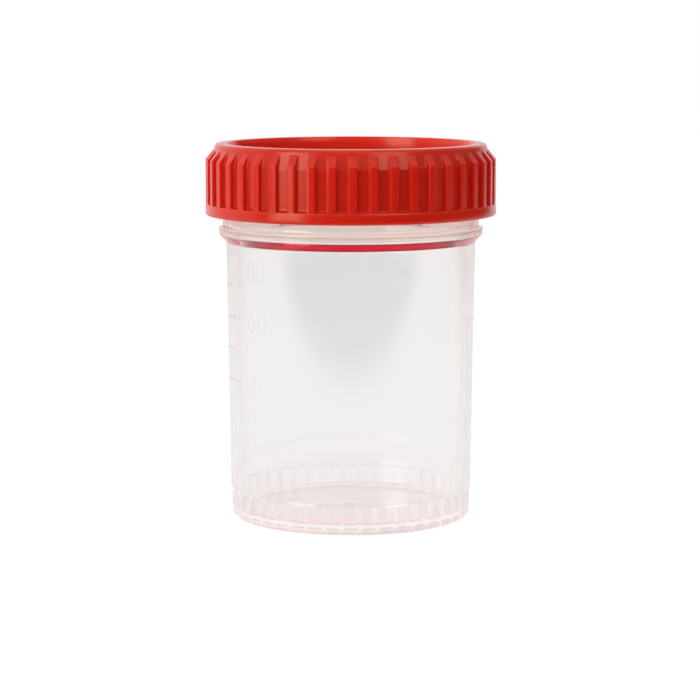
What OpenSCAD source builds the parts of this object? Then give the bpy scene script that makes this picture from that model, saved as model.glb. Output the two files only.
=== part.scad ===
// Screw-top specimen container: a clear moulded cup with a fluted base, a red ribbed screw cap and the flat
// sealing ring that the cap presses on the cup's rim. Millimetres, +Z up, origin at the centre of the standing
// ring's underside. The cap is drawn screwed tight, and the front of the cup faces -Y.

/* [Cup body] */
// Height of the cup from the surface it stands on to its rim
cup_h = 66.6; // [58:0.1:90]
// Outside radius of the body just under the collar
body_top_r = 24.25; // [23.8:0.05:24.5]
// Outside radius of the body just above the fluted band
body_base_r = 23.55; // [22.8:0.05:24]
// Thickness of the body's wall
cup_wall = 1.2; // [1:0.05:1.6]
// Thickness of the floor
floor_t = 1.25; // [0.9:0.05:2]
// Rise of the floor from its edge to its centre
floor_rise = 0.6; // [0:0.05:1.2]
// Radius of the fillet between floor and wall inside
floor_fillet_r = 1.2; // [0.4:0.1:2]

/* [Cup base] */
// Radius of the outer bottom corner
base_corner_r = 1.3; // [0.6:0.1:1.6]
// Width of the flat ring that the cup stands on
foot_w = 1.3; // [0.8:0.1:2]
// Height of the recess inside the standing ring
foot_h = 0.5; // [0.3:0.05:1]
// Radius of the gate mark under the floor
gate_r = 1.2; // [0.6:0.1:2]
// How far the gate mark stands out of the floor's underside
gate_h = 0.35; // [0.1:0.05:0.6]
// Height of the top of the fluted band
flute_top_z = 5.75; // [4.5:0.05:9]
// How far the fluted band is set in from the body
band_step = 0.2; // [0.1:0.05:0.35]
// Number of flutes round the band
flute_count = 42; // [24:1:44]
// Depth of each flute at its middle
flute_depth = 0.3; // [0.1:0.02:0.36]
// Width of the land left between two flutes
flute_land = 0.55; // [0.4:0.05:1.2]

/* [Neck] */
// Outside radius of the neck
neck_r = 24.9; // [24.7:0.05:26]
// Thickness of the neck's wall
neck_wall = 1.5; // [1.1:0.05:1.9]
// Radius of the rim's rounded edges
rim_edge_r = 0.35; // [0.2:0.05:0.5]
// Length of bare neck between the cap and the collar
collar_gap = 1.9; // [1:0.1:4]
// How far the collar stands out of the neck
collar_out = 0.72; // [0.4:0.02:1]
// Height of the collar's upright face, with its rounded lip
collar_h = 1.85; // [1.2:0.05:3]
// How far the lip at the collar's top stands out of its face
collar_lip = 0.13; // [0.05:0.01:0.3]
// Height of the slope from the collar down to the body
collar_slope_h = 1.45; // [1:0.05:3]

/* [Thread] */
// Rise of the thread in one turn
thread_lead = 3.6; // [3:0.1:4.4]
// Turns of ridge on the neck and in the cap
thread_turns = 1.25; // [1:0.05:1.5]
// How far each ridge stands out of its wall
thread_depth = 0.85; // [0.6:0.05:1]
// Width of a ridge at its wall
ridge_root_w = 1.3; // [1.1:0.05:1.4]
// Width of a ridge at its crest
ridge_crest_w = 0.6; // [0.4:0.05:0.8]
// Space between a crest and the wall that it faces
crest_gap = 0.3; // [0.2:0.05:0.5]
// Space between the two ridges' flanks when the cap is tight
flank_gap = 0.15; // [0.08:0.01:0.3]
// Distance from the rim down to the middle of the neck ridge's upper end
thread_rim_gap = 1; // [0.8:0.05:2]

/* [Cap] */
// Thickness of the skirt between its ribs
cap_wall = 1.25; // [1:0.05:1.6]
// Length of plain skirt under the cap's ridge
skirt_lip = 0.3; // [0.2:0.05:1]
// Thickness of the panel over the cup's mouth
panel_t = 1.4; // [1:0.05:2]
// Depth of the stacking well from the cap's rim to its panel
well_depth = 4.4; // [4.2:0.1:6]
// Thickness of the wall round the well
well_wall = 1.2; // [1:0.05:1.5]
// How far the well's wall reaches out past the neck
seat_over = 0.05; // [0:0.01:0.1]
// Widening of the well at its mouth
well_lead_w = 0.2; // [0.1:0.05:0.4]
// Height of that widening
well_lead_h = 0.9; // [0.5:0.05:1.4]
// Width of the cap's rim, from the well to its outer edge
cap_rim_w = 2.7; // [2.4:0.05:2.9]
// Radius of the rim's outer edge
cap_rim_edge_r = 0.8; // [0.4:0.05:1]
// Thickness of the web under the cap's rim
rim_web_t = 1.3; // [1.2:0.05:1.8]
// Distance from the cap's top down to the bend between cone and skirt
bend_drop = 3.7; // [3.4:0.05:4.2]
// Height of the plain band at the skirt's foot
cap_band_h = 2.4; // [1.8:0.1:4]
// How far the plain band stands out of the ribs
band_out = 0.15; // [0.05:0.05:0.3]
// Radius of the band's lower edge
band_edge_r = 0.4; // [0.2:0.05:0.6]
// Height of the sloped ledge on top of the band
ledge_h = 0.3; // [0.1:0.05:0.6]
// How far the plug ring reaches down into the neck
plug_h = 2.5; // [1.5:0.1:4]
// Thickness of the plug ring
plug_t = 1; // [0.8:0.05:1.5]
// Space between the plug ring and the neck
plug_gap = 0.3; // [0.1:0.05:0.5]

/* [Cap ribs] */
// Number of ribs round the cap
rib_count = 45; // [30:1:54]
// Width of a rib
rib_w = 1.6; // [1:0.05:2]
// How far the ribs stand out of the skirt
rib_depth = 0.85; // [0.5:0.05:1.1]
// Distance from the cap's top down to a rib's shoulder
rib_shoulder_drop = 3.07; // [2.8:0.05:3.6]
// Distance from the cap's top down to a rib's upper end, just inside the cone
rib_top_drop = 0.85; // [0.85:0.05:1.6]
// Turn of the ribs from the front when the cap is tight, in degrees
rib_turn = 0.8; // [0:0.1:8]

/* [Sealing ring] */
// Thickness of the sealing ring
seal_t = 0.6; // [0.4:0.05:1.2]

/* [Hidden] */
$fn = 144;

front = -90;
embed = 0.15;
chamfer = 0.3;
arc_steps = 5;
thread_step = 7.5;
thread_fade = 25;

// The two ridges touch when their middles are this far apart, and the flank gap is added
ridge_slope = (ridge_root_w - ridge_crest_w) / 2 / thread_depth;
ridge_offset = ridge_root_w - ridge_slope * (thread_depth + crest_gap) + flank_gap;
neck_ridge_top = cup_h - thread_rim_gap;
neck_ridge_foot = neck_ridge_top - thread_lead * thread_turns;

skirt_in_r = neck_r + thread_depth + crest_gap;
skirt_r = skirt_in_r + cap_wall;
rib_r = skirt_r + rib_depth;
band_r = rib_r + band_out;
panel_z = cup_h + seal_t;
panel_top_z = panel_z + panel_t;
cap_top_z = panel_top_z + well_depth;
cap_foot_z = neck_ridge_foot - ridge_offset - ridge_root_w / 2 - skirt_lip;
bend_z = cap_top_z - bend_drop;
seat_r = neck_r + seat_over;
well_r = seat_r - well_wall;
cap_rim_r = well_r + cap_rim_w;
rim_edge_z = cap_top_z - cap_rim_edge_r;
web_z = cap_top_z - rim_web_t;

neck_in_r = neck_r - neck_wall;
collar_r = neck_r + collar_out;
collar_top_z = cap_foot_z - collar_gap;
collar_foot_z = collar_top_z - collar_h;
body_top_z = collar_foot_z - collar_slope_h;
base_r = body_base_r - band_step;
foot_in_r = base_r - base_corner_r - foot_w;
floor_z = foot_h + floor_t;
flute_pitch = 360 / flute_count;
flute_w = 2 * base_r * sin(flute_pitch / 2) - flute_land;
flute_cut_r = (flute_w * flute_w / 4 + flute_depth * flute_depth) / 2 / flute_depth;

// Points of an arc round [x, y] from angle a to angle b
function arc(x, y, r, a, b) =
    [for (i = [0 : arc_steps]) let (t = a + (b - a) * i / arc_steps) [x + r * cos(t), y + r * sin(t)]];

// Points of a shallow dome at edge height z, from radius r to the axis, or back where turned is true
function dome(r, z, rise, turned = false) =
    [for (i = [0 : arc_steps]) let (t = turned ? i / arc_steps : 1 - i / arc_steps)
        [r * t, z + rise * (1 - t * t)]];

// Radius of the cap's outer cone at height z
function cone_r(z) = skirt_r + (cap_rim_r - skirt_r) * (z - bend_z) / (rim_edge_z - bend_z);

// Radius of the body's inner wall at height z
function inner_r(z) =
    body_base_r - cup_wall + (body_top_r - body_base_r) * (z - flute_top_z) / (body_top_z - flute_top_z);

// Height of the neck ridge's middle after a turn of a degrees from its lower end
function ridge_z(a) = neck_ridge_foot + thread_lead * a / 360;

// How much of its full depth a ridge has at angle a, so that both its ends fade into the wall
function ridge_share(a) =
    max(0.1, min(1, a / thread_fade, (360 * thread_turns - a) / thread_fade));

// A helical ridge on a wall of radius wall_r, standing out on side 1 or standing in on side -1
module ridge(wall_r, side, drop) {
    steps = round(360 * thread_turns / thread_step);
    points = [
        for (i = [0 : steps])
            let (a = 360 * thread_turns * i / steps,
                 z = ridge_z(a) - drop,
                 root = wall_r - side * embed,
                 crest = wall_r + side * thread_depth * ridge_share(a),
                 half_root = ridge_root_w / 2 + ridge_slope * embed,
                 half_crest = ridge_root_w / 2 - ridge_slope * thread_depth * ridge_share(a))
                for (p = [[root, -half_root], [crest, -half_crest], [crest, half_crest], [root, half_root]])
                    [p[0] * cos(a), p[0] * sin(a), z + side * p[1]]
    ];
    faces = concat(
        [[3, 2, 1], [3, 1, 0]],
        [for (i = [0 : steps - 1], j = [0 : 3], half = [0, 1])
            let (a = 4 * i + j, b = 4 * i + (j + 1) % 4)
                half == 0 ? [a, b, b + 4] : [a, b + 4, a + 4]],
        [[4 * steps, 4 * steps + 1, 4 * steps + 2], [4 * steps, 4 * steps + 2, 4 * steps + 3]]
    );
    rotate([0, 0, front]) polyhedron(points, faces);
}

// Half section of the cup, from its standing ring up the outside, over the rim and down the inside
function cup_outline() = concat(
    [[foot_in_r, 0]],
    arc(base_r - base_corner_r, base_corner_r, base_corner_r, -90, 0),
    [
        [base_r, flute_top_z],
        [body_base_r, flute_top_z],
        [body_top_r, body_top_z],
        [collar_r, collar_foot_z],
        [collar_r, collar_top_z - collar_h / 2],
        [collar_r + collar_lip, collar_top_z - collar_h / 3],
        [collar_r + collar_lip, collar_top_z - collar_h / 5],
        [collar_r, collar_top_z - collar_h / 10],
        [neck_r, collar_top_z]
    ],
    arc(neck_r - rim_edge_r, cup_h - rim_edge_r, rim_edge_r, 0, 90),
    arc(neck_in_r + rim_edge_r, cup_h - rim_edge_r, rim_edge_r, 90, 180),
    [
        [neck_in_r, collar_top_z],
        [inner_r(body_top_z), body_top_z]
    ],
    arc(inner_r(floor_z) - floor_fillet_r, floor_z + floor_fillet_r, floor_fillet_r, 0, -90),
    dome(inner_r(floor_z) - 2 * floor_fillet_r, floor_z, floor_rise),
    dome(foot_in_r - chamfer, foot_h, floor_rise, true)
);

// The grooves cut up the outside of the base, which leave its lands standing
module flutes() {
    for (i = [0 : flute_count - 1])
        rotate([0, 0, front + i * flute_pitch])
            translate([base_r - flute_depth + flute_cut_r, 0, -1])
                cylinder(r = flute_cut_r, h = flute_top_z - band_step + 1);
}

module cup() color([0.9, 0.93, 0.94, 0.5]) {
    difference() {
        rotate_extrude() polygon(cup_outline());
        flutes();
    }
    translate([0, 0, foot_h + floor_rise - gate_h]) cylinder(r = gate_r, h = gate_h + embed);
    ridge(neck_r, 1, 0);
}

// The flat ring that the cap's panel presses on the cup's rim
module sealing_ring() color([0.94, 0.94, 0.9])
    translate([0, 0, cup_h]) difference() {
        cylinder(r = neck_r, h = seal_t);
        translate([0, 0, -1]) cylinder(r = neck_in_r, h = seal_t + 2);
    }

// Half section of the cap without its ribs, from the skirt's foot up the outside and back down the inside
function cap_outline() = concat(
    arc(band_r - band_edge_r, cap_foot_z + band_edge_r, band_edge_r, -90, 0),
    [
        [band_r, cap_foot_z + cap_band_h - ledge_h],
        [skirt_r, cap_foot_z + cap_band_h],
        [skirt_r, bend_z]
    ],
    arc(cap_rim_r - cap_rim_edge_r, rim_edge_z, cap_rim_edge_r, 0, 90),
    [
        [well_r + well_lead_w, cap_top_z],
        [well_r, cap_top_z - well_lead_h]
    ],
    arc(well_r - chamfer, panel_top_z + chamfer, chamfer, 0, -90),
    [
        [0, panel_top_z],
        [0, panel_z],
        [neck_in_r - plug_gap - plug_t, panel_z],
        [neck_in_r - plug_gap - plug_t, panel_z - plug_h + chamfer],
        [neck_in_r - plug_gap - plug_t + chamfer, panel_z - plug_h],
        [neck_in_r - plug_gap - chamfer, panel_z - plug_h],
        [neck_in_r - plug_gap, panel_z - plug_h + 2 * chamfer],
        [neck_in_r - plug_gap, panel_z],
        [seat_r, panel_z],
        [seat_r, web_z],
        [cone_r(web_z) - cap_wall, web_z],
        [skirt_in_r, bend_z],
        [skirt_in_r, cap_foot_z + chamfer],
        [skirt_in_r + chamfer, cap_foot_z]
    ]
);

// One grip rib, cut from a flat plate whose top slopes into the cap's cone
module rib() {
    rotate([90, 0, 0]) translate([0, 0, -rib_w / 2]) linear_extrude(rib_w) polygon([
        [skirt_in_r + cap_wall / 2, cap_foot_z + cap_band_h - 2 * ledge_h],
        [rib_r, cap_foot_z + cap_band_h - 2 * ledge_h],
        [rib_r, cap_top_z - rib_shoulder_drop],
        [cone_r(cap_top_z - rib_top_drop) - embed, cap_top_z - rib_top_drop],
        [skirt_in_r + cap_wall / 2, bend_z - chamfer]
    ]);
}

module screw_cap() color([0.82, 0.16, 0.12]) {
    rotate_extrude() polygon(cap_outline());
    for (i = [0 : rib_count - 1])
        rotate([0, 0, front + rib_turn + i * 360 / rib_count]) rib();
    ridge(skirt_in_r, -1, ridge_offset);
}

cup();
sealing_ring();
screw_cap();
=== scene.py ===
"""Looks of a screw-top specimen container: a hazy clear moulded cup, a white sealing ring and a red ribbed cap.

Sizes are in millimetres and are the CAD part's own; meshes are made in metres. Angles are in degrees about the
container's axis. The front faces -Y.
"""

import math

import bpy
import numpy as np
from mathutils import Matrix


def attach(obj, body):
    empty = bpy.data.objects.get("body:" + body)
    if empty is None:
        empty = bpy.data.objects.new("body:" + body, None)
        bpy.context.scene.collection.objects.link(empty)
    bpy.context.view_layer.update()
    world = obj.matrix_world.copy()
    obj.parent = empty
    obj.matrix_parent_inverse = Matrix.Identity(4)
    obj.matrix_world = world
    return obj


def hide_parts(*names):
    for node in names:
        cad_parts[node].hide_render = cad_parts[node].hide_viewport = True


MM = 0.001
FRONT = -90.0
# A distance beyond everything here
FAR = 99.0

# Cup
CUP_H = 66.6
BODY_TOP_R = 24.25
BODY_BASE_R = 23.55
CUP_WALL = 1.2
FLOOR_T = 1.25
FLOOR_RISE = 0.6
FLOOR_FILLET = 1.2
BASE_CORNER = 1.3
FOOT_W = 1.3
FOOT_H = 0.5
GATE_R = 1.2
GATE_H = 0.35
FLUTE_TOP = 5.75
FLUTE_END = 5.55
BAND_STEP = 0.2
FLUTES = 42
FLUTE_DEPTH = 0.3
FLUTE_LAND = 0.55
NECK_R = 24.9
NECK_WALL = 1.5
RIM_EDGE = 0.35
COLLAR_OUT = 0.72
COLLAR_LIP = 0.13
COLLAR_TOP = 57.27
COLLAR_H = 1.85
BODY_TOP = 53.97
JOIN_R = 0.6

# Thread
LEAD = 3.6
TURNS = 1.25
THREAD_DEPTH = 0.85
ROOT_W = 1.3
CREST_W = 0.6
FADE = 25.0
RIDGE_FOOT = 61.1
RIDGE_DROP = 0.9765

# Sealing ring
SEAL_T = 0.6
SEAL_EDGE = 0.06

# Cap
CAP_TOP = 73.0
CAP_FOOT = 59.17
SKIRT_IN = 26.05
SKIRT_R = 27.3
RIB_R = 28.15
BAND_R = 28.3
BAND_TOP = 61.57
LEDGE_H = 0.3
BAND_EDGE = 0.4
BEND = 69.3
CAP_RIM_R = 26.45
CAP_RIM_EDGE = 0.8
WELL_R = 23.75
WELL_LEAD_W = 0.2
WELL_LEAD_H = 0.9
WELL_FILLET = 0.3
WELL_EDGE = 0.12
PANEL_TOP = 68.6
PANEL = 67.2
SEAT_R = 24.95
WEB = 71.7
WEB_WALL = 1.25
PLUG_R = 23.1
PLUG_T = 1.0
PLUG_H = 2.5
RIBS = 45
RIB_W = 1.6
RIB_TURN = 0.8
RIB_SHOULDER = 69.93
RIB_TOP = 71.87

# Moulded scale: height of the 60 ml mark and rise per ml, then the marks' relief and strokes, unrolled at SCALE_R
Z60 = 39.95
ML = 0.6125
MARK_H = 0.024
MARK_SLOPE = 0.2
TICK_REACH = 0.3
DIGIT_TALL = 3.75
DIGIT_WIDE = 0.62 * DIGIT_TALL
DIGIT_STEP = 1.28
DIGIT_STROKE = 0.34
SCALE_R = 24.0

# Ticks: (height, first angle, last angle), with angles from the front, negative to the left
LONG_TICK, SHORT_TICK, RIGHT_TICK = (-112.0, -61.9), (-101.0, -71.5), (77.0, 112.0)
RIGHT_STEP = 29.6 * ML
TICKS = [(Z60 + ML * (v - 60), *(LONG_TICK if v % 20 == 0 else SHORT_TICK)) for v in range(40, 90, 10)]
TICKS += [(Z60 - 0.55, *RIGHT_TICK), (Z60 - 0.55 - RIGHT_STEP, *RIGHT_TICK)]
# Digits: (text, left edge from the front, foot height). The top number hangs clear of the collar
LABELS = [(str(v), -54.8, Z60 + ML * (v - 60) - DIGIT_TALL / 2 - (2.75 if v == 80 else 0.0)) for v in (40, 60, 80)]
LABELS += [("2", 65.2, 36.3), ("1", 65.2, 36.3 - RIGHT_STEP)]

# Tint of the clear plastic by height, as a share of TINT_H in metres: the ring that stands on the table, the rounded
# corner, the floor, the wall, the slope under the collar and the neck. The wall's grey is the plastic's own tint; the
# rest is painted light: painted contact shade at the very bottom of the standing ring, and a painted red glow for the
# cap's red light, which runs down in the wall and shows as a blush at the neck, on the slope under the collar and in
# the base
TINT_H = 0.066
CUP_TINT_AND_PAINTED_LIGHT = [
    (0.0, (0.66, 0.58, 0.60)),
    (0.0016, (0.93, 0.79, 0.785)),
    (0.014, (0.93, 0.79, 0.785)),
    (0.022, (0.935, 0.86, 0.86)),
    (0.036, (0.935, 0.86, 0.86)),
    (0.05, (0.93, 0.898, 0.903)),
    (0.22, (0.908, 0.899, 0.901)),
    (0.5, (0.915, 0.906, 0.902)),
    (0.812, (0.90, 0.888, 0.883)),
    (0.82, (1.0, 0.9, 0.92)),
    (0.838, (1.0, 0.9, 0.92)),
    (0.849, (0.82, 0.70, 0.635)),
    (1.0, (0.825, 0.665, 0.615)),
]
# Colours of the haze in the plastic, of its gloss and of the light that leaks through it. The haze is painted pink at
# the rounded corner and at the neck, a painted red glow. The gloss is painted pink at the corner and deep red on the
# slope under the collar, a painted red reflection, so that the slope mirrors little of the table. The leaking light
# is painted mauve at the neck, a painted red glow
HAZE_TINT_AND_PAINTED_GLOW = [
    (0.018, (0.96, 0.81, 0.82)),
    (0.022, (0.87, 0.82, 0.825)),
    (0.1, (0.86, 0.845, 0.85)),
    (0.5, (0.90, 0.895, 0.89)),
    (0.8, (0.90, 0.885, 0.87)),
    (0.86, (1.0, 0.77, 0.77)),
]
GLOSS_TINT_AND_PAINTED_REFLECTION = [(0.0, (1.0, 0.72, 0.7)), (0.02, (1, 1, 1)), (0.815, (0.7, 0.08, 0.12)), (0.842, (1, 1, 1))]
LEAK_TINT_AND_PAINTED_GLOW = [(0.80, (0.95, 0.945, 0.94)), (0.86, (0.93, 0.75, 0.77))]
PLASTIC_IOR = 1.49
WHITE = (1, 1, 1, 1)

# Camera, fitted to the photograph: picture width and focal length in pixels, and its place in metres
PHOTO_PX = 700.0
FOCAL_PX = 2520.0
CAMERA_AT = (0.0, -0.490, 0.098)
CAMERA_DIP = 7.625
CAMERA_SHIFT = -0.0011


def oval(x, y, rx, ry, a=0.0, b=360.0, n=24):
    """Points of an oval round (x, y) from angle a to b, in n parts."""
    t = np.radians(np.linspace(a, b, n + 1))
    return [(x + rx * math.cos(u), y + ry * math.sin(u)) for u in t]


def arc(x, y, r, a, b, n):
    return oval(x, y, r, r, a, b, n)


def line(p, q, n):
    """n points after p on the way to q, with q the last."""
    return [(p[0] + (q[0] - p[0]) * k / n, p[1] + (q[1] - p[1]) * k / n) for k in range(1, n + 1)]


def from_front(angle):
    """An angle counted from the front, from -180 to 180."""
    return (angle - FRONT + 180.0) % 360.0 - 180.0


def ridge_relief(angle, z, drop):
    """How far the thread's ridge, lowered by drop, stands out at an angle and height z."""
    slope = (ROOT_W - CREST_W) / 2 / THREAD_DEPTH
    out = np.zeros_like(z)
    for k in range(3):
        along = (angle - FRONT) % 360.0 + 360.0 * k
        share = np.clip(np.minimum(along, 360.0 * TURNS - along) / FADE, 0.0, 1.0)
        share = share * share * (3 - 2 * share)
        away = np.abs(z - (RIDGE_FOOT + LEAD * along / 360.0 - drop))
        out = np.maximum(out, np.minimum((ROOT_W / 2 - away) / slope, THREAD_DEPTH) * (share > 0) * share)
    return np.maximum(out, 0.0)


class Graph:
    """The shader nodes of a material or world. A value for an input is a plain one or another node's output."""

    def __init__(self, tree):
        tree.nodes.clear()
        self.nodes, self.links = tree.nodes, tree.links

    def feed(self, socket, value):
        if isinstance(value, bpy.types.NodeSocket):
            self.links.new(value, socket)
        else:
            socket.default_value = value

    def node(self, kind, **values):
        """A node with its inputs or properties set by name."""
        n = self.nodes.new(kind)
        for key, value in values.items():
            if key in n.inputs:
                self.feed(n.inputs[key], value)
            else:
                setattr(n, key, value)
        return n

    def result(self, kind, *values, out=0, **properties):
        """An output of a node whose first inputs are fed in their order."""
        n = self.node(kind, **properties)
        for socket, value in zip(n.inputs, values):
            self.feed(socket, value)
        return n.outputs[out]

    def math(self, operation, *values):
        return self.result("ShaderNodeMath", *values, operation=operation)

    def vector(self, operation, *values, out="Vector"):
        return self.result("ShaderNodeVectorMath", *values, operation=operation, out=out)

    def attribute(self, name):
        return self.node("ShaderNodeAttribute", attribute_name=name).outputs["Fac"]

    def remap(self, value, low, high, to_low=0.0, to_high=1.0, kind="LINEAR"):
        """A value moved from the range low to high into another range and held inside it."""
        return self.node("ShaderNodeMapRange", interpolation_type=kind, **{
            "Value": value, "From Min": low, "From Max": high, "To Min": to_low, "To Max": to_high}).outputs["Result"]

    def noise(self, place, scale, detail):
        return self.node("ShaderNodeTexNoise", Vector=place, Scale=scale, Detail=detail).outputs["Fac"]

    def ramp(self, value, stops, kind="LINEAR"):
        """A colour by value, from stops of (position, colour) in rising order."""
        n = self.node("ShaderNodeValToRGB", Fac=value)
        n.color_ramp.interpolation = kind
        elements = n.color_ramp.elements
        for element, (position, colour) in zip(elements, (stops[0], stops[-1])):
            element.position, element.color = position, (*colour, 1)
        for position, colour in stops[1:-1]:
            elements.new(position).color = (*colour, 1)
        return n.outputs["Color"]

    def blend(self, share, first, colour, kind="MIX"):
        """The first colour, blended by a share with a second that is a plain colour or an output."""
        n = self.node("ShaderNodeMix", data_type="RGBA", blend_type=kind)
        socket_share, socket_first, socket_second = n.inputs[0], n.inputs[6], n.inputs[7]
        self.feed(socket_share, share)
        self.feed(socket_first, first)
        self.feed(socket_second, (*colour, 1) if isinstance(colour, tuple) else colour)
        return n.outputs[2]

    def mix(self, share, first, second):
        return self.result("ShaderNodeMixShader", share, first, second)


def material(name):
    m = bpy.data.materials.new(name)
    m.use_nodes = True
    return m, Graph(m.node_tree)


# Strokes of the plain digits on the moulded scale, in a box 1 wide and 1 tall
DIGITS = {
    "0": [oval(0.5, 0.5, 0.42, 0.5)],
    "1": [[(0.22, 0.78), (0.55, 1.0), (0.55, 0.0)]],
    "2": [oval(0.5, 0.71, 0.38, 0.29, 165, -25, 16) + [(0.08, 0.0), (0.94, 0.0)]],
    "4": [[(0.74, 0.0), (0.74, 1.0), (0.04, 0.27), (0.98, 0.27)]],
    "6": [oval(0.5, 0.31, 0.41, 0.31), oval(1.0, 0.31, 0.91, 0.75, 180, 112, 10)],
    "8": [oval(0.5, 0.75, 0.35, 0.25), oval(0.5, 0.26, 0.42, 0.26)],
}


def stroke_distance(x, z, text, foot):
    """Distance from each point (x, z) on the unrolled wall to the nearest stroke of a text that starts at x 0."""
    best = np.full(np.shape(x), FAR)
    for k, digit in enumerate(text):
        for path in DIGITS[digit]:
            points = [((k * DIGIT_STEP + px) * DIGIT_WIDE, foot + pz * DIGIT_TALL) for px, pz in path]
            for (ax, az), (bx, bz) in zip(points, points[1:]):
                dx, dz = bx - ax, bz - az
                t = np.clip(((x - ax) * dx + (z - az) * dz) / max(dx * dx + dz * dz, 1e-9), 0, 1)
                best = np.minimum(best, np.hypot(x - ax - t * dx, z - az - t * dz))
    return best


def marks_relief(angle, z):
    """Relief of the scale's ticks and digits on the body's outside."""
    turn = from_front(angle)
    out = np.zeros_like(z)
    for height, first, last in TICKS:
        along = np.minimum(turn - first, last - turn) * math.radians(SCALE_R)
        away = np.maximum(np.abs(z - height), -along)
        out = np.maximum(out, np.clip((TICK_REACH - away) / MARK_SLOPE, 0, 1))
    for text, left, foot in LABELS:
        wide = len(text) * DIGIT_WIDE * DIGIT_STEP + 1
        x = (turn - left) * math.radians(SCALE_R)
        near = (x > -1) & (x < wide) & (z > foot - 1) & (z < foot + DIGIT_TALL + 1)
        if near.any():
            away = stroke_distance(x[near], z[near], text, foot)
            out[near] = np.maximum(out[near], np.clip((DIGIT_STROKE / 2 + MARK_SLOPE / 2 - away) / MARK_SLOPE, 0, 1))
    return out * out * (3 - 2 * out) * MARK_H


def add_object(name, mesh):
    o = bpy.data.objects.new(name, mesh)
    bpy.context.collection.objects.link(o)
    return o


class Turned:
    """A closed surface turned about the axis, from a profile that starts and ends on the axis.

    rows is a list of (r, z, tag) and columns a list of angles. place takes arrays of r, z, tag, angle, column number
    and row number, one entry per vertex, and returns x, y, z and a dict of attributes. A cell (row, column) in split
    is cut into row_cuts of its row by column_cuts, so that small relief shows there.
    """

    def __init__(self, rows, columns, place, column_cuts=1):
        self.rows, self.columns, self.place = rows, columns, place
        self.split, self.row_cuts, self.column_cuts = set(), {}, column_cuts
        self.points, self.faces, self.index = [], [], {}
        # A profile that runs clockwise in r and z needs its faces turned over to face outwards
        area = sum(a[0] * b[1] - b[0] * a[1] for a, b in zip(rows, rows[1:] + rows[:1]))
        self.turned_over = area < 0

    def vertex(self, i, a, j, b):
        """Number of the vertex a cuts past row i and b cuts past column j."""
        n, m = self.row_cuts.get(i, 1), self.column_cuts
        if a == n:
            i, a = i + 1, 0
        if b == m:
            j, b = j + 1, 0
        j %= len(self.columns)
        r, z, tag = self.rows[i]
        if r == 0.0 and a == 0:
            j = b = 0
        key = (i, a, j, b)
        if key not in self.index:
            if a:
                next_r, next_z, _ = self.rows[i + 1]
                r, z = r + (next_r - r) * (a / n), z + (next_z - z) * (a / n)
            angle = self.columns[j]
            if b:
                ahead = self.columns[(j + 1) % len(self.columns)]
                angle += ((ahead - angle) % 360.0) * (b / m)
            self.index[key] = len(self.points)
            self.points.append((r, z, tag, angle, j, i))
        return self.index[key]

    def face(self, loop):
        clean = []
        for v in loop:
            if v not in clean:
                clean.append(v)
        if len(clean) > 2:
            self.faces.append(clean[::-1] if self.turned_over else clean)

    def cell(self, i, j):
        """Faces of one cell, with the cuts of split neighbours on its border."""
        n, m, count = self.row_cuts.get(i, 1), self.column_cuts, len(self.columns)
        if (i, j) in self.split:
            for a in range(n):
                for b in range(m):
                    self.face([self.vertex(i, a, j, b), self.vertex(i, a, j, b + 1),
                               self.vertex(i, a + 1, j, b + 1), self.vertex(i, a + 1, j, b)])
            return
        loop = [self.vertex(i, 0, j, 0)]
        if (i - 1, j) in self.split:
            loop += [self.vertex(i, 0, j, b) for b in range(1, m)]
        loop.append(self.vertex(i, 0, j + 1, 0))
        if (i, (j + 1) % count) in self.split:
            loop += [self.vertex(i, a, j + 1, 0) for a in range(1, n)]
        loop.append(self.vertex(i + 1, 0, j + 1, 0))
        if (i + 1, j) in self.split:
            loop += [self.vertex(i + 1, 0, j, b) for b in range(m - 1, 0, -1)]
        loop.append(self.vertex(i + 1, 0, j, 0))
        if (i, (j - 1) % count) in self.split:
            loop += [self.vertex(i, a, j, 0) for a in range(n - 1, 0, -1)]
        self.face(loop)

    def build(self, name, paint):
        for i in range(len(self.rows) - 1):
            for j in range(len(self.columns)):
                self.cell(i, j)
        x, y, z, attributes = self.place(*(np.array(values) for values in zip(*self.points)))
        mesh = bpy.data.meshes.new(name)
        mesh.from_pydata(np.column_stack([x, y, z]) * MM, [], self.faces)
        mesh.polygons.foreach_set("use_smooth", [True] * len(mesh.polygons))
        for key, values in attributes.items():
            data = mesh.attributes.new(key, "FLOAT", "POINT").data
            data.foreach_set("value", np.asarray(values, dtype=np.float32))
        mesh.update()
        mesh.materials.append(paint)
        return add_object(name, mesh)


def cone_r(z):
    """Radius of the cap's cone over the bend."""
    return SKIRT_R + (CAP_RIM_R - SKIRT_R) * (z - BEND) / (CAP_TOP - CAP_RIM_EDGE - BEND)


def rib_radius(z):
    """Outer radius of a rib at height z, or 0 where there is none."""
    slope = RIB_R + (cone_r(RIB_TOP) - RIB_R) * (z - RIB_SHOULDER) / (RIB_TOP - RIB_SHOULDER)
    return np.where(z < BAND_TOP - LEDGE_H, 0.0, np.minimum(RIB_R, slope))


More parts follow.
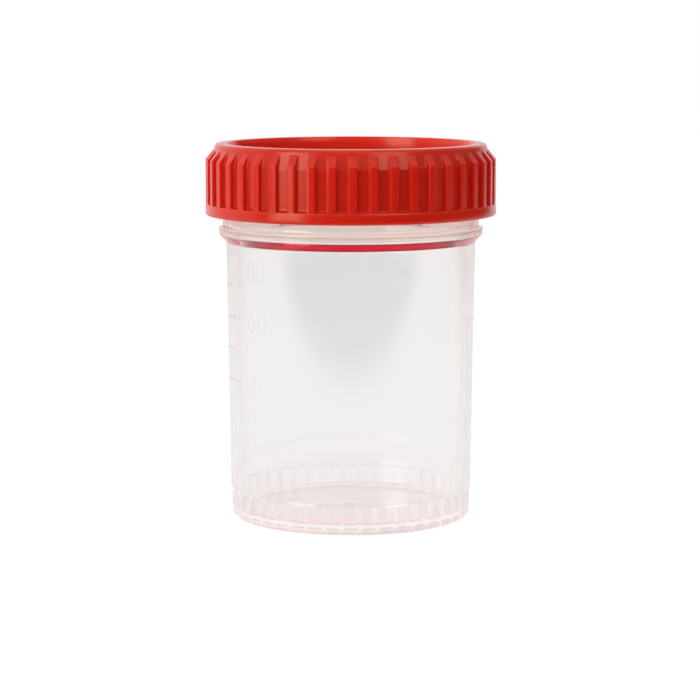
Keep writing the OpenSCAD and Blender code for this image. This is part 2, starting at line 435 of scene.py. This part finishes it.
def cap_profile():
    """The cap's profile (r, z) from the well over the outside to the inside. Close rows keep an edge crisp."""
    # Well
    o = [(0.0, PANEL_TOP)]
    o += line(o[-1], (WELL_R - WELL_FILLET, PANEL_TOP), 3)
    o += arc(WELL_R - WELL_FILLET, PANEL_TOP + WELL_FILLET, WELL_FILLET, -90, 0, 4)[1:]
    o += line(o[-1], (WELL_R, CAP_TOP - WELL_LEAD_H), 2)
    o += line(o[-1], (WELL_R + WELL_LEAD_W, CAP_TOP - WELL_EDGE), 3)
    o += arc(WELL_R + WELL_LEAD_W + WELL_EDGE, CAP_TOP - WELL_EDGE, WELL_EDGE, 180, 90, 3)[1:]

    # Rim, cone with the ribs' ends, and skirt
    rim_x = CAP_RIM_R - CAP_RIM_EDGE
    o += line(o[-1], (rim_x, CAP_TOP), 3)
    o += arc(rim_x, CAP_TOP - CAP_RIM_EDGE, CAP_RIM_EDGE, 90, 17, 6)[1:]
    cone = [RIB_TOP + d for d in (0.12, 0.0, -0.12, -0.5, -1.0, -1.5)]
    cone += [RIB_SHOULDER + d for d in (0.12, 0.04, -0.04, -0.14)] + [BEND + 0.15, BEND + 0.05]
    o += [(cone_r(z), z) for z in cone]
    o += [(SKIRT_R, z) for z in (BEND - 0.05, BEND - 0.2, 67.0, 65.0, 63.0, 62.0, BAND_TOP + 0.12)]

    # Sloped ledge, and the band with its slight draft
    slope = LEDGE_H / (BAND_R - SKIRT_R)
    o += [(SKIRT_R + d, BAND_TOP - d * slope) for d in (0.08, 0.4)]
    o += [(RIB_R, BAND_TOP - (RIB_R - SKIRT_R) * slope)]
    o += [(BAND_R - d, BAND_TOP - LEDGE_H + rise) for d, rise in ((0.14, 0.01), (0.08, -0.08), (0.06, -0.3))]
    o += [(BAND_R - 0.02, 60.3), (BAND_R, 59.8)]
    o += arc(BAND_R - BAND_EDGE, CAP_FOOT + BAND_EDGE, BAND_EDGE, 0, -90, 5)
    o += line(o[-1], (SKIRT_IN + 0.3, CAP_FOOT), 2)
    o += line(o[-1], (SKIRT_IN, CAP_FOOT + 0.3), 2)

    # Inside: thread, web, seat and plug ring
    o += [(SKIRT_IN, float(z)) for z in np.arange(CAP_FOOT + 0.45, 65.8, 0.25)]
    o += [(SKIRT_IN, BEND), (cone_r(WEB) - WEB_WALL, WEB), (SEAT_R, WEB), (SEAT_R, PANEL), (PLUG_R, PANEL)]
    tip, plug_in = PANEL - PLUG_H, PLUG_R - PLUG_T
    o += [(PLUG_R, tip + 0.6), (PLUG_R - 0.3, tip), (plug_in + 0.3, tip), (plug_in, tip + 0.3), (plug_in, PANEL)]
    o += [(0.0, PANEL)]
    return o


def make_cap(paint):
    profile = cap_profile()
    inner_row = next(k for k, (r, z) in enumerate(profile) if r == SKIRT_IN)
    rim_row = next(k for k, (r, z) in enumerate(profile) if z == CAP_TOP)
    rows = []
    for r, z in profile:
        tag = "plain"
        if abs(r - SKIRT_IN) < 1e-6 and CAP_FOOT + 0.4 < z < 66:
            tag = "thread"
        elif r > CAP_RIM_R - 0.05 and BAND_TOP - LEDGE_H < z <= RIB_TOP:
            tag = "rib"
        rows.append((r, z, tag))

    # Offsets across a rib from its middle and the share of its height there, then columns across the gap
    half = RIB_W / 2
    rib_columns = [(-half - 0.28, 0.0), (-half - 0.10, 0.015), (-half - 0.02, 0.10), (-half, 0.25),
                   (-half + 0.01, 0.80), (-half + 0.05, 0.95), (-half + 0.14, 1.0), (-half / 3, 1.0)]
    rib_columns += [(-offset, share) for offset, share in rib_columns[::-1]]
    gap_columns = (0.36, 0.5, 0.64)
    pitch = 360.0 / RIBS
    columns, offsets, shares, middles = [], [], [], []
    for k in range(RIBS):
        middle = FRONT + RIB_TURN + k * pitch
        columns += [middle + math.degrees(offset / SKIRT_R) for offset, _ in rib_columns]
        columns += [middle + pitch * part for part in gap_columns]
        offsets += [offset for offset, _ in rib_columns] + [0.0] * len(gap_columns)
        shares += [share for _, share in rib_columns] + [0.0] * len(gap_columns)
        middles += [middle] * (len(rib_columns) + len(gap_columns))
    offsets, shares, middles = np.array(offsets), np.array(shares), np.radians(middles)

    def place(r, z, tag, angle, column, row):
        share, offset, middle = shares[column], offsets[column], middles[column]
        ribbed = tag == "rib"
        r = np.where(ribbed, r + np.maximum(rib_radius(z) - r, 0.0) * share, r)
        r = np.where(tag == "thread", r - ridge_relief(angle, z, RIDGE_DROP), r)
        t = np.radians(angle)
        # On a rib the offset across it stays and the radius runs along it, so that its face is flat
        on_rib = ribbed & (share > 0.0)
        x = np.where(on_rib, r * np.cos(middle) - offset * np.sin(middle), r * np.cos(t))
        y = np.where(on_rib, r * np.sin(middle) + offset * np.cos(middle), r * np.sin(t))
        # "inside" and "well" mark where the paint puts a painted glow
        return x, y, z, {"inside": row >= inner_row, "well": row < rim_row}

    return Turned(rows, columns, place).build("cap_moulding", paint)


def body_r(z):
    """Outer radius of the tapered body."""
    return BODY_BASE_R + (BODY_TOP_R - BODY_BASE_R) * (z - FLUTE_TOP) / (BODY_TOP - FLUTE_TOP)


def inner_r(z):
    return body_r(z) - CUP_WALL


def body_heights():
    """Heights of the body's rows: even ones, and closer ones at each tick and digit."""
    ticks = [height for height, _, _ in TICKS]
    feet = [foot for _, _, foot in LABELS]
    heights = [h for h in (FLUTE_TOP + 0.3, *np.linspace(FLUTE_TOP + 2, BODY_TOP - 1, 24))
               if all(abs(h - tick) > 0.45 for tick in ticks)
               and not any(foot - 0.6 < h < foot + DIGIT_TALL + 0.6 for foot in feet)]
    for tick in ticks:
        heights += [tick + d for d in (-0.42, -0.3, -0.23, -0.16, -0.1, 0.1, 0.16, 0.23, 0.3, 0.42)]
    for foot in feet:
        heights += list(np.linspace(foot - 0.36, foot + DIGIT_TALL + 0.36, 9))
    heights.sort()
    kept = heights[:1]
    for h in heights[1:]:
        if h - kept[-1] > 0.03:
            kept.append(h)
    return kept


def cup_rows(base_r):
    """The cup's rows (r, z, tag) from the underside over the outside to the floor. Close rows keep an edge crisp."""
    foot_in = base_r - BASE_CORNER - FOOT_W
    rows = []

    def put(points, tag="plain"):
        rows.extend((float(r), float(z), tag) for r, z in points)

    def under(r):
        return FOOT_H + FLOOR_RISE * (1 - (r / (foot_in - 0.3)) ** 2)

    # Underside, from the gate mark out to the standing ring
    nub = FOOT_H + FLOOR_RISE - GATE_H
    put([(0.0, nub + 0.12), (0.35, nub + 0.03), (0.6, nub), (GATE_R - 0.12, nub), (GATE_R, nub + 0.1)])
    put([(GATE_R + 0.06, under(GATE_R) - 0.06)])
    put([(r, under(r)) for r in (GATE_R + 0.2, GATE_R + 0.35, 3, 6, 9, 12, 15, 18, foot_in - 0.55)])
    put([(foot_in - 0.36, FOOT_H + 0.01), (foot_in - 0.26, FOOT_H - 0.06), (foot_in - 0.06, 0.07)])
    put([(foot_in + 0.05, 0.0), (foot_in + FOOT_W / 2, 0.0)])

    # Rounded corner, flutes and the step over them
    put(arc(base_r - BASE_CORNER, BASE_CORNER, BASE_CORNER, -90, 0, 14), "flute")
    put([(base_r, z) for z in (1.7, 2.4, 3.4, 4.4, 5.0, 5.2, 5.33, 5.38, 5.44, 5.5, 5.54)], "flute")
    put([(base_r, 5.56), (base_r + 0.02, 5.6), (BODY_BASE_R - 0.04, FLUTE_TOP - 0.02)])
    put([(BODY_BASE_R - 0.01, FLUTE_TOP + 0.05), (body_r(FLUTE_TOP + 0.15), FLUTE_TOP + 0.15)])
    put([(body_r(h), h) for h in body_heights()], "scale")

    # Slope under the collar, and the collar with its lip
    top, foot = COLLAR_TOP, COLLAR_TOP - COLLAR_H
    collar_r = NECK_R + COLLAR_OUT
    lip = collar_r + COLLAR_LIP
    slope = math.degrees(math.atan2(collar_r - BODY_TOP_R, foot - BODY_TOP))
    reach = JOIN_R * math.tan(math.radians(slope / 2))
    put(arc(BODY_TOP_R + JOIN_R, BODY_TOP - reach, JOIN_R, 180, 180 - slope, 6))
    put(line((BODY_TOP_R, BODY_TOP), (collar_r, foot), 6)[1:5])
    put([(collar_r - 0.07, foot - 0.07), (collar_r, foot + 0.06), (collar_r, foot + 0.4)])
    low, high = top - COLLAR_H / 3, top - COLLAR_H / 5
    put([(collar_r, top - COLLAR_H / 2 - 0.05), (collar_r + 0.03, top - COLLAR_H / 2 + 0.06)])
    put([(lip - 0.03, low - 0.06), (lip, low + 0.04), (lip, high - 0.03), (lip - 0.03, high + 0.05)])
    put([(collar_r, top - COLLAR_H / 10), (collar_r - 0.14, top - 0.10), (collar_r - 0.42, top - 0.02)])

    # Neck, thread and rim
    put([(NECK_R + 0.08, top + 0.02), (NECK_R, top + 0.1)])
    put([(NECK_R, z) for z in (57.9, 58.8, 59.6, 60.1)])
    put([(NECK_R, z) for z in np.arange(60.3, 66.22, 0.16)], "thread")
    put(arc(NECK_R - RIM_EDGE, CUP_H - RIM_EDGE, RIM_EDGE, 0, 90, 5))
    put([(NECK_R - NECK_WALL / 2, CUP_H)])
    neck_in = NECK_R - NECK_WALL
    put(arc(neck_in + RIM_EDGE, CUP_H - RIM_EDGE, RIM_EDGE, 90, 180, 5))

    # Inside wall and floor
    put([(neck_in, 64.0), (neck_in, 60.5), (neck_in, top + 0.15), (neck_in - 0.03, top - 0.15)])
    put([(inner_r(BODY_TOP) + 0.05, BODY_TOP + 0.35), (inner_r(BODY_TOP), BODY_TOP - 0.2)])
    put([(inner_r(z), z) for z in np.linspace(50, 4.5, 12)])
    floor_z = FOOT_H + FLOOR_T
    edge = inner_r(floor_z)
    put(arc(edge - FLOOR_FILLET, floor_z + FLOOR_FILLET, FLOOR_FILLET, 0, -90, 7))
    wide = edge - FLOOR_FILLET - 0.6
    put([(r, floor_z + FLOOR_RISE * (1 - (r / wide) ** 2)) for r in (wide - 1.2, 18, 15, 12, 9, 6, 3)])
    put([(0.0, floor_z + FLOOR_RISE)])
    return rows


def split_digits(shape):
    """Split the cells that hold digits, so that their strokes are smooth."""
    turns = [from_front(c) for c in shape.columns]
    for i, ((_, z, tag), (_, next_z, next_tag)) in enumerate(zip(shape.rows, shape.rows[1:])):
        if tag != "scale" or next_tag != "scale":
            continue
        for text, left, foot in LABELS:
            if next_z <= foot - 0.37 or z >= foot + DIGIT_TALL + 0.37:
                continue
            shape.row_cuts[i] = max(1, round((next_z - z) / 0.09))
            right = left + math.degrees(len(text) * DIGIT_STEP * DIGIT_WIDE / SCALE_R)
            for j, turn in enumerate(turns):
                ahead = turns[(j + 1) % len(turns)]
                if ahead > left - 1.2 and turn < right + 0.8 and ahead > turn:
                    shape.split.add((i, j))


def make_cup(paint):
    base_r = BODY_BASE_R - BAND_STEP

    # Each flute is a round pocket between two lands. Columns follow the pocket, then the land
    pitch = 360.0 / FLUTES
    chord = 2 * base_r * math.sin(math.radians(pitch / 2)) - FLUTE_LAND
    cut_r = (chord * chord / 4 + FLUTE_DEPTH ** 2) / 2 / FLUTE_DEPTH
    centre = base_r - FLUTE_DEPTH + cut_r
    half = math.degrees(math.asin(chord / 2 / base_r))
    pocket_parts = (-1.0, -0.96, -0.88, -0.68, -0.4, -0.14, 0.14, 0.4, 0.68, 0.88, 0.96, 1.0)
    columns = []
    for k in range(FLUTES):
        middle = FRONT + k * pitch
        columns += [middle + half * part for part in pocket_parts]
        columns += [middle + half + (pitch - 2 * half) * part for part in (0.22, 0.5, 0.78)]

    def place(r, z, tag, angle, column, row):
        scale, flute = tag == "scale", tag == "flute"
        relief = marks_relief(angle, z)
        r = np.where(scale, r + relief, r)
        r = np.where(tag == "thread", r + ridge_relief(angle, z, 0.0), r)
        turn = (angle - FRONT + pitch / 2) % pitch - pitch / 2
        t = np.radians(turn)
        inside = cut_r ** 2 - (centre * np.sin(t)) ** 2
        wall = centre * np.cos(t) - np.sqrt(np.maximum(inside, 0.0))
        wall = np.where((inside > 0) & (np.abs(turn) < half), wall, FAR)
        # The pockets end flat, just under the step
        depth = np.maximum(r - wall, 0.0) * np.clip((FLUTE_END - z) / 0.2, 0.0, 1.0)
        r = np.where(flute, r - depth, r)

        # "edge" is the borders of the lands and of the pockets' ends, and the lands' spread feet, where the paint
        # puts painted highlights and painted dark lines
        pocket = (half - np.abs(turn)) * math.radians(base_r)
        border = np.clip(1.0 - np.abs(pocket) / 0.11, 0, 1) * (z < FLUTE_END + 0.01) * (z > 0.9)
        end = 0.25 * np.clip(1.0 - np.abs(z - (FLUTE_END - 0.1)) / 0.14, 0, 1) * (pocket > 0)
        spread = 0.5 * np.clip((0.10 + 0.7 * (1.2 - z) - pocket) / 0.15, 0, 1) * (z < 1.15) * (z > 0.25)
        edge = np.where(flute, np.maximum(np.maximum(border, end), spread), 0.0)
        # "mark" is the scale and a faint mould line beside it, both painted a little darker as painted shade, and
        # "foot" the painted dark line, painted shade, at each pocket's foot
        mould_line = scale & (np.abs(from_front(angle) + 43.0) < 0.3)
        mark = np.maximum(np.where(scale, relief / MARK_H, 0.0), np.where(mould_line, 0.3, 0.0))
        foot = np.where(flute & (depth > 0.02), np.clip(1.4 - np.abs(z - 1.4) / 0.2, 0, 1), 0.0)
        t = np.radians(angle)
        return r * np.cos(t), r * np.sin(t), z, {"edge": edge, "mark": mark, "foot": foot}

    shape = Turned(cup_rows(base_r), columns, place, column_cuts=7)
    split_digits(shape)
    return shape.build("cup_moulding", paint)


def make_ring(paint):
    inner, outer, e = NECK_R - NECK_WALL, NECK_R, SEAL_EDGE
    low, high = CUP_H, CUP_H + SEAL_T
    loop = [(inner, low + e), (inner + e, low), (outer - e, low), (outer, low + e), (outer, high - e),
            (outer - e, high), (inner + e, high), (inner, high - e)]
    verts, faces, n, m = [], [], 192, len(loop)
    for k in range(n):
        t = 2 * math.pi * k / n
        verts += [(r * math.cos(t) * MM, r * math.sin(t) * MM, z * MM) for r, z in loop]
        a, b = k * m, ((k + 1) % n) * m
        faces += [(a + p, b + p, b + (p + 1) % m, a + (p + 1) % m) for p in range(m)]
    mesh = bpy.data.meshes.new("seal_sheet")
    mesh.from_pydata(verts, [], faces)
    mesh.polygons.foreach_set("use_smooth", [True] * len(mesh.polygons))
    mesh.materials.append(paint)
    return add_object("seal_sheet", mesh)


def red_paint():
    m, g = material("red_plastic")
    place = g.node("ShaderNodeTexCoord").outputs["Object"]
    colour = g.ramp(g.noise(place, 60.0, 3.0), [(0.3, (0.505, 0.010, 0.003)), (0.7, (0.545, 0.014, 0.005))])
    # The well's wall is painted brighter, a painted glow for the light from behind. The cap's inside is painted
    # brighter still, a painted red glow for the light that comes through the plastic from outside, and it is less
    # glossy
    colour = g.blend(g.attribute("well"), colour, (0.62, 0.021, 0.009))
    inside = g.attribute("inside")
    colour = g.blend(inside, colour, (0.97, 0.004, 0.035))
    fine = g.noise(place, 1500.0, 4.0)
    bump = g.node("ShaderNodeBump", Height=fine, Strength=0.05, Distance=0.00003).outputs["Normal"]
    plastic = g.node("ShaderNodeBsdfPrincipled", **{
        "Base Color": colour, "IOR": PLASTIC_IOR, "Roughness": g.remap(fine, 0.0, 1.0, 0.17, 0.27),
        "Specular IOR Level": g.remap(inside, 0.0, 1.0, 0.4, 0.12), "Specular Tint": (1.0, 0.88, 0.68, 1),
        "Subsurface Weight": 0.8, "Subsurface Scale": 0.003, "Subsurface Radius": (1.0, 0.12, 0.08), "Normal": bump})
    g.node("ShaderNodeOutputMaterial", Surface=plastic.outputs[0])
    return m


def cup_colour(g, height, depth, back, edge, marks):
    """The clear plastic's tint, with painted glow, highlights and shade. depth is the place from front to back; back
    is 1 where a face is seen from inside.
    """
    # Tint by height, with its painted red glow and painted contact shade
    colour = g.ramp(height, CUP_TINT_AND_PAINTED_LIGHT)
    # The back half of the floor is paler, with less of the painted red glow
    rear = g.math("MULTIPLY", g.remap(depth, -0.014, 0.002, 0.0, 0.85), g.remap(height, 0.07, 0.05))
    colour = g.blend(rear, colour, (0.93, 0.88, 0.887))
    # Moulded edges get a painted highlight where seen from outside, and painted shade, a darker line, where they are
    # seen through the wall
    painted_dark_edge = g.math("MULTIPLY", edge, back)
    colour = g.blend(g.math("SUBTRACT", edge, painted_dark_edge), colour, (1, 0.985, 0.98))
    # Painted shade: a dark line at each pocket's foot
    colour = g.blend(g.attribute("foot"), colour, (0.62, 0.45, 0.5))
    # Painted shade: the scale's marks and the mould line are a little darker
    colour = g.blend(marks, colour, (0.93, 0.93, 0.935), "MULTIPLY")
    # Painted shade on the edges seen through the wall
    return g.blend(painted_dark_edge, colour, (0.82, 0.81, 0.82), "MULTIPLY")


def cup_paint():
    m, g = material("clear_plastic")
    coords = g.node("ShaderNodeTexCoord").outputs["Object"]
    place = g.node("ShaderNodeSeparateXYZ", Vector=coords)
    height = g.remap(place.outputs["Z"], 0.0, TINT_H)
    face = g.node("ShaderNodeNewGeometry")
    back = face.outputs["Backfacing"]
    path = g.node("ShaderNodeLightPath")
    shadow_ray = path.outputs["Is Shadow Ray"]
    edge, marks = g.attribute("edge"), g.attribute("mark")

    # How slanted the round wall is to the view. Floor and rims don't count
    radial = g.vector("NORMALIZE", g.vector("MULTIPLY", coords, (1, 1, 0)))
    facing = g.node("ShaderNodeLayerWeight", Blend=0.5, Normal=radial).outputs["Facing"]
    upright = g.math("ABSOLUTE", g.node("ShaderNodeSeparateXYZ", Vector=face.outputs["Normal"]).outputs["Z"])
    slanted = g.math("MULTIPLY", g.remap(facing, 0.42, 0.8, kind="SMOOTHSTEP"), g.remap(upright, 0.5, 0.9, 1.0, 0.0))

    # Slow waves of the melt's flow show in the surface's gloss
    waves = g.remap(g.noise(coords, 45.0, 1.0), 0.0, 1.0, 0.03, 0.07)
    # The gloss is painted pink at the corner and red under the collar: painted reflection
    plastic = g.node("ShaderNodeBsdfPrincipled", **{
        "Base Color": cup_colour(g, height, place.outputs["Y"], back, edge, marks), "IOR": PLASTIC_IOR,
        "Transmission Weight": 1.0, "Specular Tint": g.ramp(height, GLOSS_TINT_AND_PAINTED_REFLECTION, "CONSTANT"),
        "Roughness": g.math("MULTIPLY_ADD", slanted, 0.2, waves)})

    # Lamps shine through the clear plastic instead of leaving a solid shadow, and light that has run a long way
    # inside the plastic leaks out again, as it does at the small flaws of a real moulding
    mirrored = g.node("ShaderNodeFresnel", IOR=PLASTIC_IOR).outputs[0]
    trapped = g.math("MULTIPLY", g.remap(mirrored, 0.7, 1.0, 0.0, 0.85), back)
    leak = g.math("MAXIMUM", g.remap(path.outputs["Glossy Depth"], 1.0, 5.0), trapped)
    leak = g.math("MAXIMUM", leak, shadow_ray)
    # The leaking light is painted mauve at the neck: a painted red glow
    clear = g.node("ShaderNodeBsdfTransparent", Color=g.ramp(height, LEAK_TINT_AND_PAINTED_GLOW))
    lit = g.mix(leak, plastic.outputs[0], clear.outputs[0])

    # Seen edge on, the plastic's slight haze adds up and hides what lies behind. At the moulded edges the haze is
    # thicker and whiter, a painted highlight, and at the rounded corner at the foot it is thick and pink, a painted
    # red glow for the red light in the wall that ends there. It is pink at the neck too, a painted red glow, and
    # darker on the scale's marks, painted shade
    corner = g.remap(height, 0.0205, 0.018, 0.0, 0.58)
    haze_and_painted_light = g.math("MAXIMUM", g.math("MULTIPLY", slanted, 0.42), corner)
    haze_and_painted_light = g.math("MAXIMUM", haze_and_painted_light, g.math("MULTIPLY", edge, 0.38))
    seen = g.math("SUBTRACT", 1.0, g.math("MAXIMUM", back, shadow_ray))
    milk_and_painted_light = g.blend(edge, g.ramp(height, HAZE_TINT_AND_PAINTED_GLOW), (1.0, 0.98, 0.975))
    milk_and_painted_light = g.blend(marks, milk_and_painted_light, (0.85, 0.81, 0.82), "MULTIPLY")
    near = g.node("ShaderNodeBsdfDiffuse", Color=milk_and_painted_light).outputs[0]
    far = g.node("ShaderNodeBsdfTranslucent", Color=milk_and_painted_light).outputs[0]
    whole = g.mix(g.math("MULTIPLY", haze_and_painted_light, seen), lit, g.mix(0.45, near, far))
    g.node("ShaderNodeOutputMaterial", Surface=whole)
    return m


def ring_paint():
    m, g = material("seal_foam")
    place = g.node("ShaderNodeTexCoord").outputs["Object"]
    bump = g.node("ShaderNodeBump", Height=g.noise(place, 2500.0, 3.0), Strength=0.2, Distance=0.00005)
    foam = g.node("ShaderNodeBsdfPrincipled", **{
        "Base Color": (0.86, 0.86, 0.82, 1), "Roughness": 0.55, "Normal": bump.outputs["Normal"]})
    g.node("ShaderNodeOutputMaterial", Surface=foam.outputs[0])
    return m


def seen_by_eye(g, path):
    """1 for camera, glossy and transmission rays, else 0."""
    eye = g.math("MAXIMUM", path.outputs["Is Camera Ray"], path.outputs["Is Glossy Ray"])
    return g.math("MAXIMUM", eye, path.outputs["Is Transmission Ray"])


def only_bounced(g, path, share):
    """A share that is 0 for camera rays."""
    return g.math("MULTIPLY", share, g.math("SUBTRACT", 1.0, path.outputs["Is Camera Ray"]))


def make_world():
    world = bpy.data.worlds.new("studio")
    bpy.context.scene.world = world
    world.use_nodes = True
    g = Graph(world.node_tree)
    path = g.node("ShaderNodeLightPath")
    ray = g.node("ShaderNodeTexCoord").outputs["Generated"]
    axes = g.node("ShaderNodeSeparateXYZ", Vector=ray)
    # The room is lighter on the left
    light = g.node("ShaderNodeBackground", Color=WHITE, Strength=g.remap(axes.outputs["X"], -1.0, 1.0, 1.15, 0.42))
    # Reflections see a dim room low down beyond the table's front and right edges. The camera sees white all round
    toward = g.vector("DOT_PRODUCT", ray, (0.53, -0.848, 0.0), out="Value")
    sector = only_bounced(g, path, g.remap(toward, -0.42, -0.242, kind="SMOOTHSTEP"))
    greys = ((0.14, 0.02), (0.26, 0.35), (0.62, 0.4), (0.85, 1.0))
    room = g.ramp(axes.outputs["Z"], [(rise, (grey, grey, grey)) for rise, grey in greys])
    seen = g.node("ShaderNodeBackground", Color=g.blend(sector, WHITE, room), Strength=1.0)
    whole = g.mix(seen_by_eye(g, path), light.outputs[0], seen.outputs[0])
    g.node("ShaderNodeOutputWorld", Surface=whole)


def make_floor():
    m, g = material("floor")
    path = g.node("ShaderNodeLightPath")
    eye = seen_by_eye(g, path)
    # The table lights the object as a pale card does, and glows to the eye, so that it looks white under the shadow
    card = g.node("ShaderNodeBsdfDiffuse", Color=g.remap(eye, 0.0, 1.0, 0.8, 0.22))
    glow = g.node("ShaderNodeEmission", Color=WHITE, Strength=g.math("MULTIPLY", eye, 0.86))
    table = g.result("ShaderNodeAddShader", card.outputs[0], glow.outputs[0])
    # In reflections the table fades into the dim room in front of it
    place = g.node("ShaderNodeTexCoord").outputs["Object"]
    front_y = g.node("ShaderNodeSeparateXYZ", Vector=place).outputs["Y"]
    fade = only_bounced(g, path, g.remap(front_y, -0.13, -0.26, kind="SMOOTHSTEP"))
    dim = g.node("ShaderNodeEmission", Color=WHITE, Strength=0.03)
    g.node("ShaderNodeOutputMaterial", Surface=g.mix(fade, table, dim.outputs[0]))
    left, right, front, rear = -1.5, 0.75, -0.27, 1.5
    mesh = bpy.data.meshes.new("floor")
    mesh.from_pydata([(left, front, 0), (right, front, 0), (right, rear, 0), (left, rear, 0)], [], [(0, 1, 2, 3)])
    mesh.materials.append(m)
    o = add_object("floor", mesh)
    # Just under the standing ring, so that the two don't share a plane
    o.location.z = -0.00002


def lamp(name, azimuth, elevation, width, height, power):
    """A soft box aimed at the container; azimuth is from the front, positive to the right."""
    aim, distance = (0, 0, 0.04), 0.9
    data = bpy.data.lights.new(name, "AREA")
    data.shape = "RECTANGLE"
    data.size, data.size_y, data.energy = width, height, power
    data.color = (1.0, 0.94, 0.87)
    o = add_object(name, data)
    a, e = math.radians(azimuth), math.radians(elevation)
    o.location = (aim[0] + distance * math.sin(a) * math.cos(e), aim[1] - distance * math.cos(a) * math.cos(e),
                  aim[2] + distance * math.sin(e))
    o.rotation_euler = (math.radians(90) - e, 0, a)


def make_camera():
    data = bpy.data.cameras.new("camera")
    data.sensor_width = 36.0
    data.lens = data.sensor_width * FOCAL_PX / PHOTO_PX
    data.shift_x = CAMERA_SHIFT
    data.clip_start = 0.01
    o = add_object("camera", data)
    o.location = CAMERA_AT
    o.rotation_euler = (math.radians(90.0 - CAMERA_DIP), 0, 0)
    bpy.context.scene.camera = o


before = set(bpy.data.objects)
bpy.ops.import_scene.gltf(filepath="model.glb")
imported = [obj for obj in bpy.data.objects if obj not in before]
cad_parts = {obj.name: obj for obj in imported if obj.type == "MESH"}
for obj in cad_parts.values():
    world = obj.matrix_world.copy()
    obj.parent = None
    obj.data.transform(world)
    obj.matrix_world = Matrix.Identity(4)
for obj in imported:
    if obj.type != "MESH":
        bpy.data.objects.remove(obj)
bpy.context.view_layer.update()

cap = make_cap(red_paint())
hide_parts("screw_cap")
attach(cap, "cap")
cup = make_cup(cup_paint())
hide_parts("cup")
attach(cup, "cup")
ring = make_ring(ring_paint())
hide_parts("sealing_ring")
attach(ring, "seal")

make_world()
make_floor()
lamp("left_box", azimuth=-50, elevation=14.7, width=0.42, height=0.55, power=3.4)
lamp("right_box", azimuth=34, elevation=32, width=0.45, height=0.36, power=1.3)
make_camera()
bpy.context.scene.view_settings.view_transform = "Standard"
# Light runs along inside the clear plastic by many inner reflections, which Cycles counts as glossy bounces
cycles = bpy.context.scene.cycles
cycles.max_bounces = cycles.glossy_bounces = cycles.transmission_bounces = 24
